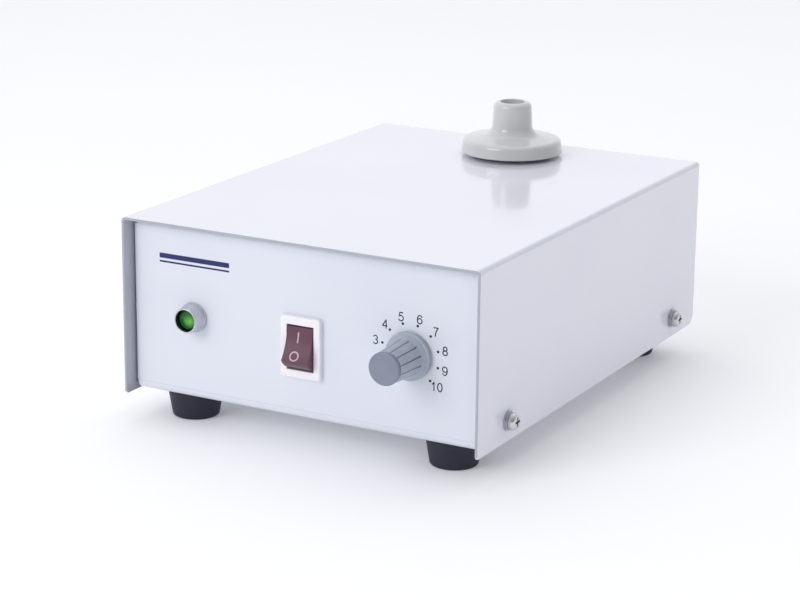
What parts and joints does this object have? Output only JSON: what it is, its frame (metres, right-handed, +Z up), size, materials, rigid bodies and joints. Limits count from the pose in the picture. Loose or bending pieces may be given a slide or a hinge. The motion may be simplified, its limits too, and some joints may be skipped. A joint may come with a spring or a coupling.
{
  "type": "vortex mixer",
  "caption": "Bench vortex mixer: folded steel case, upright motor with an eccentric crank that orbits a rubber cup head, rocker switch, pilot lamp and speed knob with a numbered dial.",
  "frame": {"origin": "centre of the bounding box in plan, on the surface the feet stand on", "axes": "+Z up, front panel towards -Y, +X to the right seen from the front"},
  "size_m": [0.141, 0.1898, 0.0908],
  "materials": {
    "white_paint": "glossy baked enamel, very fine texture",
    "panel_paint": "semi-gloss baked enamel",
    "black_rubber": "matte moulded rubber",
    "grey_rubber": "smooth satin moulded rubber",
    "zinc": "bright zinc plate",
    "nickel": "bright nickel plate",
    "chrome": "polished chrome plate",
    "green_lens": "coloured translucent lens",
    "clear_plastic": "tinted clear epoxy",
    "white_plastic": "moulded nylon",
    "red_plastic": "translucent dark red",
    "grey_plastic": "moulded blue-grey",
    "grey_cap": "moulded blue-grey cap",
    "black_plastic": "moulded thermoplastic",
    "green_plastic": "moulded nylon",
    "capacitor_case": "moulded case",
    "circuit_board": "solder-masked glass epoxy",
    "lamination_steel": "stacked silicon steel, edges visible",
    "copper": "enamelled copper",
    "bronze": "sintered bronze",
    "brass": "machined brass",
    "cast_alloy": "die cast",
    "black_aluminium": "black anodised",
    "bearing_steel": "ground bearing steel",
    "fuse_glass": "clear glass with metal caps",
    "brown_wire": "PVC insulation",
    "blue_wire": "PVC insulation",
    "earth_wire": "PVC insulation"
  },
  "bodies": {
    "enclosure": {"top_cover": "white_paint", "base_chassis": "panel_paint", "rubber_feet": "black_rubber", "foot_screws": "zinc", "foot_nuts": "zinc", "cover_screws": "nickel", "cover_spring_washers": "zinc", "cover_flat_washers": "zinc", "clinch_nuts": "zinc", "indicator_bezel": "chrome", "indicator_lens": "green_lens", "indicator_lamp": "clear_plastic", "indicator_nut": "nickel", "switch_housing": "white_plastic", "switch_terminals": "brass", "pot_housing": "zinc", "pot_terminals": "brass", "pot_nut": "nickel", "stator_laminations": "lamination_steel", "shading_rings": "copper", "coil_bobbin": "white_plastic", "motor_coil": "copper", "upper_bearing_bracket": "cast_alloy", "lower_bearing_bracket": "cast_alloy", "bearing_bushes": "bronze", "motor_screws": "zinc", "motor_spacers": "zinc", "motor_plate": "zinc", "vibration_mounts": "black_rubber", "vibration_mount_screws": "zinc", "control_board": "circuit_board", "board_posts": "white_plastic", "triac": "black_plastic", "heatsink": "black_aluminium", "film_capacitors": "capacitor_case", "terminal_block": "green_plastic", "inlet_housing": "black_plastic", "inlet_pins": "nickel", "live_wires": "brown_wire", "neutral_wires": "blue_wire", "earth_wire": "earth_wire"},
    "rotor": {"rotor_core": "lamination_steel", "motor_shaft": "nickel", "eccentric_hub": "nickel", "pin_retaining_ring": "nickel", "counterweight": "brass", "hub_set_screw": "zinc", "bearing_inner_rings": "bearing_steel"},
    "head": {"mixing_head": "grey_rubber", "head_core": "black_plastic", "bearing_outer_rings": "bearing_steel", "bearing_balls": "bearing_steel"},
    "rocker": {"rocker": "red_plastic"},
    "lever": {"contact_lever": "brass"},
    "knob": {"knob": "grey_plastic", "knob_collet": "brass", "knob_cap": "grey_cap", "pot_shaft": "nickel"},
    "fuse_drawer": {"fuse_drawer": "black_plastic", "fuse": "fuse_glass"}
  },
  "joints": [
    {"name": "shaft_spin", "type": "hinge", "parent": "enclosure", "child": "rotor", "pos_m": [0, 0.07055, 0], "axis": [0, 0, 1], "continuous": true},
    {"name": "head_orbit", "type": "hinge", "parent": "rotor", "child": "head", "pos_m": [0.002, 0.07055, 0], "axis": [0, 0, 1], "continuous": true},
    {"name": "rocker_tilt", "type": "hinge", "parent": "enclosure", "child": "rocker", "pos_m": [0.0005, -0.07665, 0.0349], "axis": [1, 0, 0], "range_deg": [0, 40]},
    {"name": "lever_tilt", "type": "hinge", "parent": "enclosure", "child": "lever", "pos_m": [0.0005, -0.06555, 0.0349], "axis": [1, 0, 0], "range_deg": [-22, 0]},
    {"name": "knob_turn", "type": "hinge", "parent": "enclosure", "child": "knob", "pos_m": [0.0401, -0.07735, 0.0384], "axis": [0, 1, 0], "range_deg": [0, 270]},
    {"name": "drawer_slide", "type": "slide", "parent": "enclosure", "child": "fuse_drawer", "axis": [0, 1, 0], "range_m": [0, 0.017]}
  ],
  "couplings": [
    {"joint": "head_orbit", "follows": "shaft_spin", "ratio": -1},
    {"joint": "lever_tilt", "follows": "rocker_tilt", "ratio": -0.55}
  ]
}
